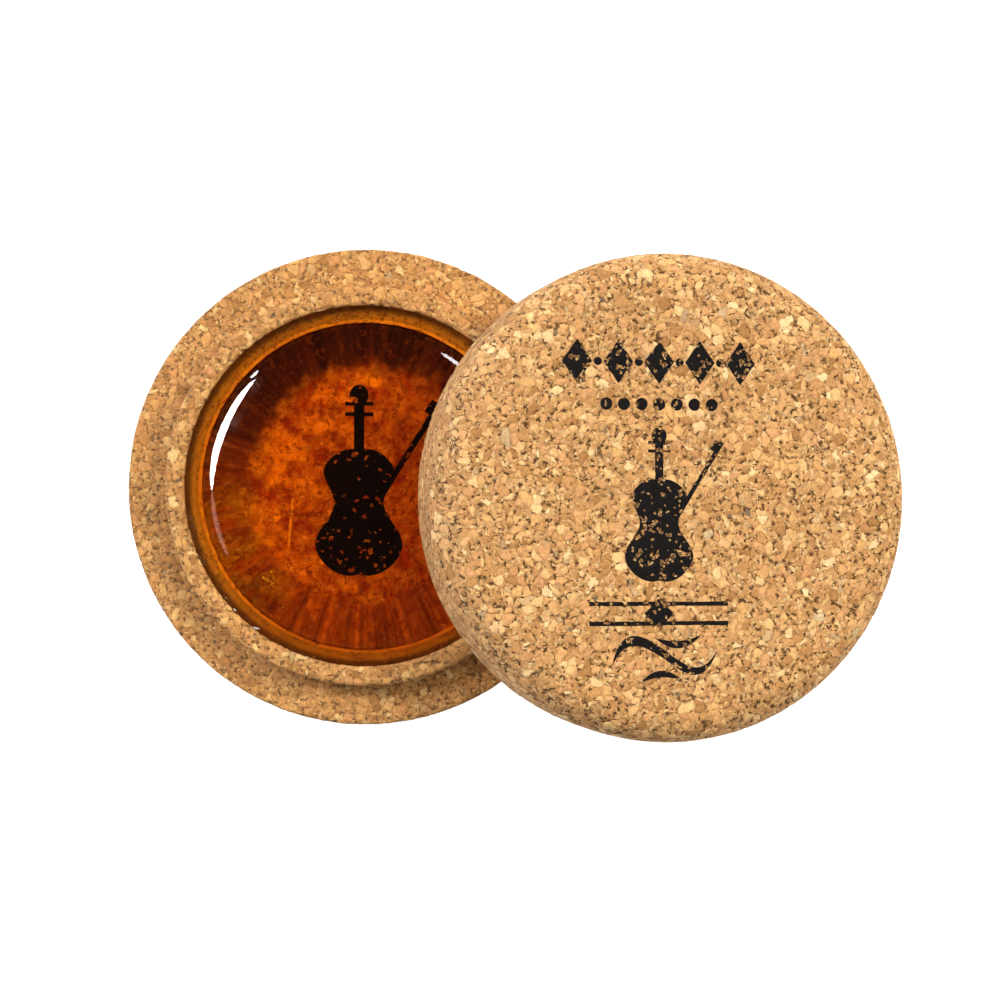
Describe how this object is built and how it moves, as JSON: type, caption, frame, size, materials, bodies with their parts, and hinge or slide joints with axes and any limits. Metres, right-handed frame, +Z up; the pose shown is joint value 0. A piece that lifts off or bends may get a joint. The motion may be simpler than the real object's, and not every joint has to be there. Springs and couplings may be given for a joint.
{
  "type": "rosin cake in a cork case",
  "caption": "Amber rosin cast in the base of a round cork case, with the cork lid leaning on the base's raised ring.",
  "frame": {"origin": "centre of the base's underside, on the table", "axes": "+Z up; +X from the base towards the lid that leans on it"},
  "size_m": [0.0971, 0.0616, 0.0229],
  "materials": {
    "cork": "matte",
    "rosin": "gloss",
    "ink": "matte"
  },
  "bodies": {
    "base": {"cork_base": "cork", "rosin_cake": "rosin", "base_emblem": "ink"},
    "lid": {"cork_lid": "cork", "lid_headline": "ink", "lid_upper_rule": "ink", "lid_emblem": "ink", "lid_lower_rule": "ink", "lid_flourish": "ink"}
  },
  "joints": [
    {"name": "lid_lift", "type": "slide", "parent": "base", "child": "lid", "axis": [0, 0, 1], "range_m": [0, 0.04]}
  ]
}
